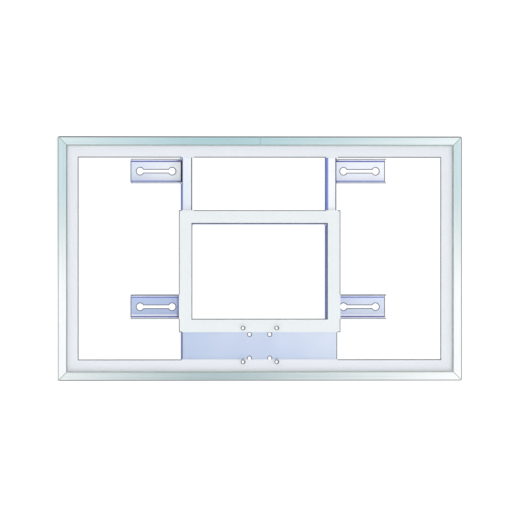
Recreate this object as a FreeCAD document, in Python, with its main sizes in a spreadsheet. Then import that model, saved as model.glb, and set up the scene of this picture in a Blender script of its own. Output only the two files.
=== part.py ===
import FreeCAD, Part
import os

import Sketcher

# A rectangular glass basketball backboard: a sheet of toughened glass in a mitred aluminium
# frame, held from behind by a welded steel back frame with four slotted mounting brackets and
# a goal plate. Millimetres. Seen from the front, +X is right, +Y is away and +Z is up.
# The origin is the centre of the support bolt pattern, on the rear face of the brackets.

Vector = FreeCAD.Vector
doc = FreeCAD.newDocument("backboard")
sheet = doc.addObject("Spreadsheet::Sheet", "Sizes")
parts = []


class Size:
    """A length: its value in millimetres and the sheet expression that gives it."""

    def __init__(self, text, value):
        self.text = text
        self.value = value

    def _join(self, other, sign, value):
        return Size("(%s %s %s)" % (self.text, sign, other.text), value)

    def __add__(self, other):
        other = as_size(other)
        return self._join(other, "+", self.value + other.value)

    def __sub__(self, other):
        other = as_size(other)
        return self._join(other, "-", self.value - other.value)

    def __mul__(self, other):
        other = as_size(other)
        return self._join(other, "*", self.value * other.value)

    def __truediv__(self, other):
        other = as_size(other)
        return self._join(other, "/", self.value / other.value)

    def __neg__(self):
        return self * -1

    __rmul__ = __mul__


def as_size(number):
    return number if isinstance(number, Size) else Size("(%r)" % float(number), float(number))


def size(alias, value, meaning):
    """Writes one driving dimension to the sheet."""
    row = len([cell for cell in sheet.getUsedCells() if cell.startswith("A")]) + 1
    sheet.set("A%d" % row, meaning)
    sheet.set("B%d" % row, str(value))
    sheet.setAlias("B%d" % row, alias)
    return Size("Sizes.%s" % alias, value)


# Driving dimensions: board and aluminium frame
board_width = size("board_width", 1524.0, "overall width of the framed board")
board_height = size("board_height", 914.4, "overall height of the framed board")
frame_face = size("frame_face", 31.75, "width of the frame seen from the front")
frame_depth = size("frame_depth", 44.0, "front to back depth of the frame")
frame_wall = size("frame_wall", 3.0, "wall of the frame extrusion")
corner_round = size("corner_round", 7.0, "radius of the frame's four outer corners")
front_round = size("front_round", 2.5, "rounding of the frame's front outer edge")
edge_round = size("edge_round", 1.0, "rounding of the frame's other long edges")
mitre_gap = size("mitre_gap", 0.4, "hairline between two mitred rails, and at the top joint")

# Driving dimensions: glass, edge gasket and printed lines
glass_thickness = size("glass_thickness", 12.7, "toughened glass")
gasket_base = size("gasket_base", 3.0, "gasket between the glass edge and the frame")
gasket_leg = size("gasket_leg", 2.0, "gasket on each face of the glass")
gasket_show = size("gasket_show", 3.5, "gasket bead past the frame's lip")
ink_thickness = size("ink_thickness", 0.3, "fired white ink on the rear of the glass")
border_reach = size("border_reach", 79.4, "inner edge of the white border, from the board's edge")
target_width = size("target_width", 609.6, "outside width of the white target")
target_height = size("target_height", 457.2, "outside height of the white target")
target_line = size("target_line", 50.8, "width of the target's line")
target_rise = size("target_rise", 47.5, "bottom of the target above the goal hole centre")

# Driving dimensions: steel back frame
upright_face = size("upright_face", 38.1, "upright tube seen from the front")
upright_depth = size("upright_depth", 50.8, "upright tube front to back")
upright_spacing = size("upright_spacing", 544.0, "upright centre to upright centre")
upright_end_gap = size("upright_end_gap", 0.5, "between an upright's end and the frame")
tube_wall = size("tube_wall", 3.0, "wall of the steel tubes")
tube_round = size("tube_round", 4.0, "outer corner radius of the steel tubes")
cross_height = size("cross_height", 50.8, "cross tube seen from the front")
cross_depth = size("cross_depth", 31.75, "cross tube front to back")
cross_drop = size("cross_drop", 2.5, "top of the cross tube below the target's top")
plate_height = size("plate_height", 178.0, "goal plate")
plate_thickness = size("plate_thickness", 6.0, "goal plate")
plate_overhang = size("plate_overhang", 2.0, "goal plate past each upright's outer side")
plate_corner = size("plate_corner", 3.0, "rounding of the goal plate's corners")
pad_thickness = size("pad_thickness", 3.0, "rubber pads between goal plate and glass")
pad_width = size("pad_width", 25.0, "rubber pad strips")
pad_margin = size("pad_margin", 5.0, "pad strips inside the edges that hide them")

# Driving dimensions: goal holes
goal_rise = size("goal_rise", 133.4, "goal hole centre above the board's bottom edge")
goal_spacing = size("goal_spacing", 127.0, "goal bolt holes, across and up")
goal_bore = size("goal_bore", 12.0, "diameter of the sleeves' bore")
sleeve_wall = size("sleeve_wall", 2.0, "wall of the nylon sleeves")
collar_diameter = size("collar_diameter", 24.0, "collar of a sleeve, on the front of the goal plate")
collar_thickness = size("collar_thickness", 2.0, "collar of a sleeve")
sleeve_clearance = size("sleeve_clearance", 0.1, "around a sleeve in glass and plate, on the radius")
spare_hole = size("spare_hole", 13.0, "diameter of the inner holes in the goal plate")
spare_columns = size("spare_columns", 76.2, "inner plate holes, across")
spare_rows = size("spare_rows", 88.9, "inner plate holes, up")
spare_drop = size("spare_drop", 5.0, "inner hole centre below the goal hole centre")

# Driving dimensions: mounting brackets
slot_columns = size("slot_columns", 889.0, "support bolts, across")
slot_rows = size("slot_rows", 508.0, "support bolts, up")
upper_slot_drop = size("upper_slot_drop", 130.0, "upper support bolts below the board's top edge")
slot_eye = size("slot_eye", 26.0, "diameter of the round eye at each end of a slot")
slot_pitch = size("slot_pitch", 120.65, "eye to eye along a slot")
slot_width = size("slot_width", 10.5, "width of a slot between its eyes")
bracket_length = size("bracket_length", 189.4, "bracket past the upright's outer side")
bracket_height = size("bracket_height", 92.0, "bracket channel, over its flanges")
bracket_flange = size("bracket_flange", 38.0, "bracket channel, front to back")
bracket_gauge = size("bracket_gauge", 4.76, "sheet of the bracket channel")
bracket_bend = size("bracket_bend", 7.5, "inside radius of the channel's bends")
bracket_corner = size("bracket_corner", 6.0, "rounding of the flanges' free corners")

# Driving dimensions: fixings
key_leg = size("key_leg", 80.0, "reach of a corner key along each rail")
key_clearance = size("key_clearance", 0.2, "around a key in the hollow of the frame")
splice_length = size("splice_length", 160.0, "splice bar at the top joint")
key_screw_first = size("key_screw_first", 48.0, "corner to the nearest key screw")
key_screw_pitch = size("key_screw_pitch", 20.0, "key screw to key screw")
screw_shank = size("screw_shank", 5.0, "key screw diameter")
screw_length = size("screw_length", 14.0, "key screw under its head")
screw_head = size("screw_head", 9.0, "key screw head diameter")
screw_head_height = size("screw_head_height", 2.8, "key screw head")
hole_clearance = size("hole_clearance", 0.3, "around a screw or bolt, on the radius")
thread_clearance = size("thread_clearance", 0.05, "around a thread, on the radius")
clip_gauge = size("clip_gauge", 4.0, "sheet of the frame clips")
clip_leg = size("clip_leg", 44.0, "clip leg along the frame's rear")
clip_length = size("clip_length", 66.0, "length of a clip")
clip_edge = size("clip_edge", 5.0, "clip inside the board's edge")
bolt_first = size("bolt_first", 15.0, "upright side to the nearest clip bolt")
bolt_pitch = size("bolt_pitch", 18.0, "clip bolt to clip bolt")
bolt_shank = size("bolt_shank", 8.0, "clip bolt diameter")
bolt_head = size("bolt_head", 15.0, "clip bolt head across corners")
bolt_head_height = size("bolt_head_height", 5.3, "clip bolt head")
washer_diameter = size("washer_diameter", 16.5, "clip bolt washer")
washer_thickness = size("washer_thickness", 1.6, "clip bolt washer")
nut_bar_height = size("nut_bar_height", 20.0, "tapped bar inside the frame")
nut_bar_thickness = size("nut_bar_thickness", 6.0, "tapped bar inside the frame")
bolt_tail = size("bolt_tail", 1.5, "bolt end past its tapped bar")
weld_leg = size("weld_leg", 4.0, "fillet welds")
weld_margin = size("weld_margin", 3.0, "weld ends inside the joint they run along")
doc.recompute()

# Levels up the board
zero = as_size(0)
board_top = slot_rows / 2 + upper_slot_drop
board_bottom = board_top - board_height
goal_centre = board_bottom + goal_rise
spare_centre = goal_centre - spare_drop
target_bottom = goal_centre + target_rise
target_top = target_bottom + target_height
plate_top = goal_centre + plate_height / 2
plate_bottom = goal_centre - plate_height / 2
cross_top = target_top - cross_drop
cross_bottom = cross_top - cross_height

# Depths, from the brackets' rear face at zero forward to the frame's front
upright_front = -upright_depth
plate_front = upright_front - plate_thickness
ink_back = plate_front - pad_thickness
glass_back = ink_back - ink_thickness
glass_front = glass_back - glass_thickness
pocket_front = glass_front - gasket_leg
pocket_back = ink_back + gasket_leg
frame_front = pocket_front - frame_wall
frame_back = frame_front + frame_depth
hollow_front = pocket_back + frame_wall
hollow_back = frame_back - frame_wall

# Distances across the board
half_width = board_width / 2
upright_inner = upright_spacing / 2 - upright_face / 2
upright_outer = upright_spacing / 2 + upright_face / 2
glass_inset = frame_wall + gasket_base
hollow_reach = frame_face - frame_wall
hollow_middle = (frame_wall + hollow_reach) / 2
sleeve_radius = goal_bore / 2 + sleeve_wall
goal_hole_radius = sleeve_radius + sleeve_clearance

LEFT, RIGHT = -1, 1
DRILL_PAST = 1.0
SAME_PLACE = 0.01
SAME_WAY = 0.999
SIDE_NAMES = {LEFT: "left", RIGHT: "right"}
ROW_NAMES = {1: "upper", -1: "lower"}
END_NAMES = {1: "top", -1: "bottom"}
TURNS = {
    "x": FreeCAD.Rotation(Vector(0, 1, 0), 90),
    "y": FreeCAD.Rotation(Vector(1, 0, 0), -90),
    "z": FreeCAD.Rotation(),
}


# Helpers: every length below is bound to the sheet
def place(thing, at):
    for axis, length in zip("xyz", at):
        thing.setExpression("Placement.Base." + axis, as_size(length).text)


def block(name, across, deep, up):
    """A box between a low and a high length along X, Y and Z."""
    box = doc.addObject("Part::Box", name)
    spans = (across, deep, up)
    for side, (low, high) in zip(("Length", "Width", "Height"), spans):
        box.setExpression(side, (as_size(high) - low).text)
    place(box, [low for low, high in spans])
    return box


def mirrored(side, near, far):
    """A span given outward from the middle, as low and high on that side."""
    return (near, far) if side > 0 else (-far, -near)


def rod(name, radius, at, along, length):
    """A cylinder that starts at a point and runs the positive way along an axis."""
    cylinder = doc.addObject("Part::Cylinder", name)
    cylinder.Placement = FreeCAD.Placement(Vector(), TURNS[along])
    cylinder.setExpression("Radius", as_size(radius).text)
    cylinder.setExpression("Height", as_size(length).text)
    place(cylinder, at)
    return cylinder


def drill(name, radius, spot, front, back):
    """A hole's rod at an (x, z) point, from past one depth to past another."""
    return rod(name, radius, (spot[0], front - DRILL_PAST, spot[1]), "y", back - front + DRILL_PAST * 2)


def fused(name, shapes):
    joined = doc.addObject("Part::MultiFuse", name)
    joined.Shapes = shapes
    joined.Refine = True
    return joined


def gathered(name, shapes):
    together = doc.addObject("Part::Compound", name)
    together.Links = shapes
    return together


def drilled(name, base, tools):
    holed = doc.addObject("Part::Cut", name)
    holed.Base = base
    holed.Tool = gathered(name + "_holes", tools)
    return holed


def keep(thing, label):
    """Names a finished sub-part."""
    thing.Label = label
    parts.append(thing)
    return thing


def sketch_on(body, plane, level, name):
    """A sketch on one of the body's planes, moved along the plane's normal."""
    support = next(f for f in body.Origin.OriginFeatures if f.Role == plane)
    sketch = body.newObject("Sketcher::SketchObject", name)
    sketch.AttachmentSupport = [(support, "")]
    sketch.MapMode = "FlatFace"
    sketch.setExpression("AttachmentOffset.Base.z", as_size(level).text)
    return sketch


def pin_point(sketch, curve, point, at):
    for kind, length in zip(("DistanceX", "DistanceY"), at):
        length = as_size(length)
        rule = sketch.addConstraint(Sketcher.Constraint(kind, -1, 1, curve, point, length.value))
        sketch.setExpression("Constraints[%d]" % rule, length.text)


def draw_outline(sketch, corners):
    """A closed outline of straight lines, each corner pinned to the sheet."""
    first = sketch.GeometryCount
    count = len(corners)
    spots = [Vector(as_size(a).value, as_size(b).value, 0) for a, b in corners]
    for i in range(count):
        sketch.addGeometry(Part.LineSegment(spots[i], spots[(i + 1) % count]), False)
    for i in range(count):
        after = first + (i + 1) % count
        sketch.addConstraint(Sketcher.Constraint("Coincident", first + i, 2, after, 1))
    for i in range(count):
        pin_point(sketch, first + i, 1, corners[i])


def draw_rectangle(sketch, across, up):
    (left, right), (low, high) = across, up
    draw_outline(sketch, [(left, low), (right, low), (right, high), (left, high)])


def draw_circle(sketch, at, radius):
    middle = Vector(as_size(at[0]).value, as_size(at[1]).value, 0)
    curve = sketch.addGeometry(Part.Circle(middle, Vector(0, 0, 1), radius.value), False)
    pin_point(sketch, curve, 3, at)
    rule = sketch.addConstraint(Sketcher.Constraint("Radius", curve, radius.value))
    sketch.setExpression("Constraints[%d]" % rule, radius.text)


def pad(body, sketch, length):
    feature = body.newObject("PartDesign::Pad", sketch.Name + "_pad")
    feature.Profile = sketch
    feature.setExpression("Length", length.text)
    doc.recompute()
    return feature


def cut_through(body, sketch):
    """Removes the sketched area through the whole body, both ways."""
    before = body.Shape.Volume
    feature = body.newObject("PartDesign::Pocket", sketch.Name + "_cut")
    feature.Profile = sketch
    feature.Type = "ThroughAll"
    feature.SideType = "Symmetric"
    doc.recompute()
    if not body.Shape.Volume < before:
        raise RuntimeError("%s cuts nothing" % sketch.Name)
    return feature


def rounded(body, feature, radius, wanted):
    """Fillets the straight edges that a test picks."""
    names = []
    for i, edge in enumerate(feature.Shape.Edges):
        if isinstance(edge.Curve, Part.Line) and wanted(edge):
            names.append("Edge%d" % (i + 1))
    if not names:
        raise RuntimeError("%s has no edge to round" % body.Name)
    fillet = body.newObject("PartDesign::Fillet", feature.Name + "_round")
    fillet.Base = (feature, names)
    fillet.setExpression("Radius", as_size(radius).text)
    doc.recompute()
    return fillet


def runs_along(edge, axis):
    return abs(getattr(edge.tangentAt(edge.FirstParameter), axis)) > SAME_WAY


def near(number, length):
    return abs(number - as_size(length).value) < SAME_PLACE


def four_corners(columns, rows, centre_up):
    """Points of a rectangular hole pattern about the board's middle."""
    half_across, half_up = columns / 2, rows / 2
    return [(half_across * side, centre_up + half_up * row) for side in (LEFT, RIGHT) for row in (-1, 1)]


# Glass panel, drilled for the goal's bolts
glass = doc.addObject("PartDesign::Body", "glass_panel")
glass_outline = sketch_on(glass, "XZ_Plane", -glass_back, "glass_outline")
glass_across = (glass_inset - half_width, half_width - glass_inset)
glass_up = (board_bottom + glass_inset, board_top - glass_inset)
draw_rectangle(glass_outline, glass_across, glass_up)
goal_points = four_corners(goal_spacing, goal_spacing, goal_centre)
for point in goal_points:
    draw_circle(glass_outline, point, goal_hole_radius)
pad(glass, glass_outline, glass_thickness)
keep(glass, "glass_panel")


# White ink fired on the rear of the glass: the border and the target
def printed_ring(name, outer_across, outer_up, inner_across, inner_up):
    ring = doc.addObject("PartDesign::Body", name + "_sheet")
    outline = sketch_on(ring, "XZ_Plane", -ink_back, name + "_outline")
    draw_rectangle(outline, outer_across, outer_up)
    draw_rectangle(outline, inner_across, inner_up)
    pad(ring, outline, ink_thickness)
    rods = [
        drill("%s_rod_%d" % (name, i), goal_hole_radius, point, glass_back, ink_back)
        for i, point in enumerate(goal_points)
    ]
    return keep(drilled(name, ring, rods), name)


border_inner_across = (border_reach - half_width, half_width - border_reach)
border_inner_up = (board_bottom + border_reach, board_top - border_reach)
printed_ring("border_print", glass_across, glass_up, border_inner_across, border_inner_up)
target_half = target_width / 2
printed_ring(
    "target_print",
    (-target_half, target_half),
    (target_bottom, target_top),
    (target_line - target_half, target_half - target_line),
    (target_bottom + target_line, target_top - target_line),
)


# Mitred lengths: rails and gaskets run along one edge of the board and meet at 45 degrees.
# A profile is given as (inward from the board's edge, depth) corners, outer loop first.
def edge_point(edge, inward, depth):
    """A profile corner in the sketch plane of that edge: X and Y, or Y and Z."""
    if edge == "left":
        return inward - half_width, depth
    if edge == "right":
        return half_width - inward, depth
    if edge == "top":
        return depth, board_top - inward
    return depth, board_bottom + inward


def mitred_length(name, edge, loops, reach, inset, soft_edges=(), start=None, finish=None):
    """One edge's length of a profile, mitred at the board's corners, or cut square at an inner end.
    Reach is how far the profile stretches inward, inset where its mitre starts, and soft edges
    are the profile corners that are rounded."""
    body = doc.addObject("PartDesign::Body", name)
    upright_edge = edge in ("left", "right")
    low, high = (board_bottom, board_top) if upright_edge else (-half_width, half_width)
    begin = low + inset if start is None else start
    end = high - inset if finish is None else finish
    profile = sketch_on(body, "XY_Plane" if upright_edge else "YZ_Plane", begin, name + "_profile")
    for loop in loops:
        draw_outline(profile, [edge_point(edge, inward, depth) for inward, depth in loop])
    straight = pad(body, profile, end - begin)
    if soft_edges:
        axis, across, deep = ("z", "x", "y") if upright_edge else ("x", "y", "z")
        spots = [edge_point(edge, inward, depth) for inward, depth in soft_edges]

        def soft(line):
            middle = line.CenterOfMass
            point = getattr(middle, across), getattr(middle, deep)
            here = any(near(point[0], a) and near(point[1], b) for a, b in spots)
            return runs_along(line, axis) and here

        rounded(body, straight, edge_round, soft)
    mitres = sketch_on(body, "XZ_Plane", zero, name + "_mitres")
    trim = mitre_gap / 2
    before = -mitre_gap
    past = reach + mitre_gap
    for corner, way, square in ((low, 1, start), (high, -1, finish)):
        if square is not None:
            continue
        outside = corner - mitre_gap * 2 * way
        points = [
            (before, corner + (before + trim) * way),
            (past, corner + (past + trim) * way),
            (past, outside),
            (before, outside),
        ]
        if edge == "left":
            points = [(inward - half_width, along) for inward, along in points]
        elif edge == "right":
            points = [(half_width - inward, along) for inward, along in points]
        elif edge == "top":
            points = [(along, board_top - inward) for inward, along in points]
        else:
            points = [(along, board_bottom + inward) for inward, along in points]
        draw_outline(mitres, points)
    cut_through(body, mitres)
    return body


# Aluminium frame: a lip and a pocket for the glass in front of a hollow box, in five lengths.
# The top is in two, which meet over a splice bar at the middle.
frame_profile = [
    [
        (zero, frame_front),
        (frame_face, frame_front),
        (frame_face, pocket_front),
        (frame_wall, pocket_front),
        (frame_wall, pocket_back),
        (frame_face, pocket_back),
        (frame_face, frame_back),
        (zero, frame_back),
    ],
    [
        (frame_wall, hollow_front),
        (hollow_reach, hollow_front),
        (hollow_reach, hollow_back),
        (frame_wall, hollow_back),
    ],
]

# The frame's blank: a slab with the board's rounded corners, which trims every rail's ends
blank = doc.addObject("PartDesign::Body", "frame_blank")
blank_outline = sketch_on(blank, "XZ_Plane", -frame_back, "blank_outline")
draw_rectangle(blank_outline, (-half_width, half_width), (board_bottom, board_top))
blank_pad = pad(blank, blank_outline, frame_depth)
blank_corners = rounded(blank, blank_pad, corner_round, lambda edge: runs_along(edge, "y"))
blank_front = rounded(blank, blank_corners, front_round, lambda line: near(line.CenterOfMass.y, frame_front))
rounded(blank, blank_front, edge_round, lambda line: near(line.CenterOfMass.y, frame_back))

# Screws and bolts through the frame's rear wall, each as (x, z)
key_screw_steps = (key_screw_first, key_screw_first + key_screw_pitch)
corner_names = [(end, side) for end in (1, -1) for side in (LEFT, RIGHT)]
edge_up = {1: board_top, -1: board_bottom}


def corner_screw_points(end, side):
    """Two screws along each rail at one corner, on the middle of the hollow."""
    corner_x = half_width * side
    corner_z = edge_up[end]
    points = {"level": [], "upright": []}
    for step in key_screw_steps:
        points["level"].append((corner_x - step * side, corner_z - hollow_middle * end))
        points["upright"].append((corner_x - hollow_middle * side, corner_z - step * end))
    return points


splice_screw_steps = (splice_length / 2 - key_screw_pitch / 2, splice_length / 2 - key_screw_pitch * 1.5)
splice_points = {
    side: [(step * side, board_top - hollow_middle) for step in splice_screw_steps] for side in (LEFT, RIGHT)
}


def clip_bolt_points(end, side):
    steps = (upright_inner - bolt_first, upright_inner - bolt_first - bolt_pitch)
    return [(step * side, edge_up[end] - hollow_middle * end) for step in steps]


rail_screws = {
    "frame_left": corner_screw_points(1, LEFT)["upright"] + corner_screw_points(-1, LEFT)["upright"],
    "frame_right": corner_screw_points(1, RIGHT)["upright"] + corner_screw_points(-1, RIGHT)["upright"],
    "frame_top_left": corner_screw_points(1, LEFT)["level"] + splice_points[LEFT],
    "frame_top_right": corner_screw_points(1, RIGHT)["level"] + splice_points[RIGHT],
    "frame_bottom": corner_screw_points(-1, LEFT)["level"] + corner_screw_points(-1, RIGHT)["level"],
}
rail_bolts = {
    "frame_top_left": clip_bolt_points(1, LEFT),
    "frame_top_right": clip_bolt_points(1, RIGHT),
    "frame_bottom": clip_bolt_points(-1, LEFT) + clip_bolt_points(-1, RIGHT),
}
screw_radius = screw_shank / 2
bolt_radius = bolt_shank / 2


def rear_wall_holes(name, points, radius):
    return [
        drill("%s_%d" % (name, i), radius, point, hollow_back, frame_back)
        for i, point in enumerate(points)
    ]


def frame_rail(name, edge, start=None, finish=None):
    soft_edges = [(frame_face, frame_front), (frame_face, frame_back)]
    length = mitred_length(name + "_length", edge, frame_profile, frame_face, zero, soft_edges, start, finish)
    trimmed = doc.addObject("Part::Common", name + "_trimmed")
    trimmed.Base = length
    trimmed.Tool = blank
    holes = rear_wall_holes(name + "_screw", rail_screws[name], screw_radius + hole_clearance)
    holes += rear_wall_holes(name + "_bolt", rail_bolts.get(name, []), bolt_radius + hole_clearance)
    keep(drilled(name, trimmed, holes), name)


frame_rail("frame_left", "left")
frame_rail("frame_right", "right")
frame_rail("frame_bottom", "bottom")
frame_rail("frame_top_left", "top", finish=-(mitre_gap / 2))
frame_rail("frame_top_right", "top", start=mitre_gap / 2)

# Edge gasket: a rubber channel over the glass edge, in four mitred strips
gasket_reach = frame_face + gasket_show
gasket_profile = [
    [
        (frame_wall, pocket_front),
        (gasket_reach, pocket_front),
        (gasket_reach, glass_front),
        (glass_inset, glass_front),
        (glass_inset, ink_back),
        (gasket_reach, ink_back),
        (gasket_reach, pocket_back),
        (frame_wall, pocket_back),
    ],
]
for edge in ("left", "right", "top", "bottom"):
    strip = mitred_length("gasket_" + edge, edge, gasket_profile, gasket_reach, frame_wall)
    keep(strip, "gasket_" + edge)

# Corner keys: solid angles inside the hollow, screwed from behind
key_low = frame_wall + key_clearance
key_high = hollow_reach - key_clearance
key_deep = (hollow_front + key_clearance, hollow_back - key_clearance)
key_screws = []
key_hole_radius = screw_radius + thread_clearance


def inward_span(side, edge, low, high):
    """A span measured inward from one edge of the board, as low and high."""
    return (edge - high, edge - low) if side > 0 else (edge + low, edge + high)


def key_holes(name, points):
    return [
        drill("%s_hole_%d" % (name, i), key_hole_radius, point, key_deep[0], key_deep[1])
        for i, point in enumerate(points)
    ]


for end, side in corner_names:
    name = "corner_key_%s_%s" % (END_NAMES[end], SIDE_NAMES[side])
    edge_x = half_width * side
    edge_z = edge_up[end]
    level_leg = block(
        name + "_level",
        inward_span(side, edge_x, key_low, key_leg),
        key_deep,
        inward_span(end, edge_z, key_low, key_high),
    )
    upright_leg = block(
        name + "_upright",
        inward_span(side, edge_x, key_low, key_high),
        key_deep,
        inward_span(end, edge_z, key_low, key_leg),
    )
    points = corner_screw_points(end, side)
    points = points["level"] + points["upright"]
    key_screws += points
    keep(drilled(name, fused(name + "_angle", [level_leg, upright_leg]), key_holes(name, points)), name)

# Splice bar inside the top joint
splice_screws = splice_points[LEFT] + splice_points[RIGHT]
splice_block = block(
    "splice_block",
    (-(splice_length / 2), splice_length / 2),
    key_deep,
    inward_span(1, board_top, key_low, key_high),
)
keep(drilled("top_splice_bar", splice_block, key_holes("splice", splice_screws)), "top_splice_bar")


def pan_screws(label, points):
    """Round-headed screws on the frame's rear face."""
    screws = []
    for i, (x, z) in enumerate(points):
        name = "%s_%d" % (label, i)
        shank = rod(name + "_shank", screw_radius, (x, frame_back - screw_length, z), "y", screw_length)
        head = rod(name + "_head", screw_head / 2, (x, frame_back, z), "y", screw_head_height)
        screws.append(fused(name, [shank, head]))
    keep(gathered(label, screws), label)


pan_screws("corner_key_screws", key_screws)
pan_screws("splice_screws", splice_screws)


# Steel tubes: two uprights and the cross tube between them
def tube(label, plane, level, length, across, up):
    """A rectangular tube with rounded corners, its section on a plane and its length along the normal."""
    body = doc.addObject("PartDesign::Body", label)
    section = sketch_on(body, plane, level, label + "_section")
    (left, right), (low, high) = across, up
    draw_rectangle(section, across, up)
    draw_rectangle(section, (left + tube_wall, right - tube_wall), (low + tube_wall, high - tube_wall))
    straight = pad(body, section, length)
    axis = "z" if plane == "XY_Plane" else "x"
    box = straight.Shape.BoundBox
    extremes = {"x": (box.XMin, box.XMax), "y": (box.YMin, box.YMax), "z": (box.ZMin, box.ZMax)}
    sides = [name for name in "xyz" if name != axis]

    def outer_corner(edge):
        middle = edge.CenterOfMass
        at_sides = [any(near(getattr(middle, s), e) for e in extremes[s]) for s in sides]
        return runs_along(edge, axis) and all(at_sides)

    rounded(body, straight, tube_round, outer_corner)
    return keep(body, label)


upright_bottom = board_bottom + frame_face + upright_end_gap
upright_top = board_top - frame_face - upright_end_gap
for side in (LEFT, RIGHT):
    tube(
        "upright_" + SIDE_NAMES[side],
        "XY_Plane",
        upright_bottom,
        upright_top - upright_bottom,
        mirrored(side, upright_inner, upright_outer),
        (upright_front, zero),
    )
tube(
    "cross_tube",
    "YZ_Plane",
    -upright_inner,
    upright_inner * 2,
    (upright_front, upright_front + cross_depth),
    (cross_bottom, cross_top),
)

# Goal plate across the front of both uprights
plate = doc.addObject("PartDesign::Body", "goal_plate")
plate_outline = sketch_on(plate, "XZ_Plane", -upright_front, "plate_outline")
plate_half = upright_outer + plate_overhang
draw_rectangle(plate_outline, (-plate_half, plate_half), (plate_bottom, plate_top))
for point in goal_points:
    draw_circle(plate_outline, point, goal_hole_radius)
for point in four_corners(spare_columns, spare_rows, spare_centre):
    draw_circle(plate_outline, point, spare_hole / 2)
plate_pad = pad(plate, plate_outline, plate_thickness)
rounded(plate, plate_pad, plate_corner, lambda edge: runs_along(edge, "y"))
keep(plate, "goal_plate")

# Nylon sleeves that line the goal's bolt holes through glass and plate, with a collar between them
sleeves = []
sleeve_length = upright_front - glass_front
for i, (x, z) in enumerate(goal_points):
    outside = rod("sleeve_%d_outside" % i, sleeve_radius, (x, glass_front, z), "y", sleeve_length)
    collar_at = (x, plate_front - collar_thickness, z)
    collar = rod("sleeve_%d_collar" % i, collar_diameter / 2, collar_at, "y", collar_thickness)
    bore = drill("sleeve_%d_bore" % i, goal_bore / 2, (x, z), glass_front, upright_front)
    sleeves.append(drilled("sleeve_%d" % i, fused("sleeve_%d_solid" % i, [outside, collar]), [bore]))
keep(gathered("goal_sleeves", sleeves), "goal_sleeves")


# Mounting brackets: bent channels, open to the front, with a slot that ends in two round eyes
def mounting_bracket(row, side):
    label = "bracket_%s_%s" % (ROW_NAMES[row], SIDE_NAMES[side])
    middle = slot_rows / 2 * row
    low, high = middle - bracket_height / 2, middle + bracket_height / 2
    web_front = -bracket_gauge
    flange_front = -bracket_flange
    body = doc.addObject("PartDesign::Body", label)
    start = upright_outer if side > 0 else -(upright_outer + bracket_length)
    section = sketch_on(body, "YZ_Plane", start, label + "_section")
    channel = [
        (zero, low),
        (zero, high),
        (flange_front, high),
        (flange_front, high - bracket_gauge),
        (web_front, high - bracket_gauge),
        (web_front, low + bracket_gauge),
        (flange_front, low + bracket_gauge),
        (flange_front, low),
    ]
    draw_outline(section, channel)
    folded = pad(body, section, bracket_length)
    slot = sketch_on(body, "XZ_Plane", zero, label + "_slot")
    outer_eye = slot_columns / 2
    inner_eye = outer_eye - slot_pitch
    slot_up = (middle - slot_width / 2, middle + slot_width / 2)
    draw_rectangle(slot, mirrored(side, inner_eye, outer_eye), slot_up)
    cut_through(body, slot)
    eyes = sketch_on(body, "XZ_Plane", zero, label + "_eyes")
    for eye in (inner_eye, outer_eye):
        draw_circle(eyes, (eye * side, middle), slot_eye / 2)
    pierced = cut_through(body, eyes)

    def bend(depth, edges_up):
        def wanted(edge):
            spot = edge.CenterOfMass
            level = any(near(spot.z, up) for up in edges_up)
            return runs_along(edge, "x") and near(spot.y, depth) and level

        return wanted

    inside_up = (low + bracket_gauge, high - bracket_gauge)
    inside = rounded(body, pierced, bracket_bend, bend(web_front, inside_up))
    outside = rounded(body, inside, bracket_bend + bracket_gauge, bend(zero, (low, high)))
    free_end = (upright_outer + bracket_length) * side

    def free_corner(edge):
        spot = edge.CenterOfMass
        return runs_along(edge, "z") and near(spot.y, flange_front) and near(spot.x, free_end)

    rounded(body, outside, bracket_corner, free_corner)
    keep(body, label)


for row in (1, -1):
    for side in (LEFT, RIGHT):
        mounting_bracket(row, side)

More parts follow.
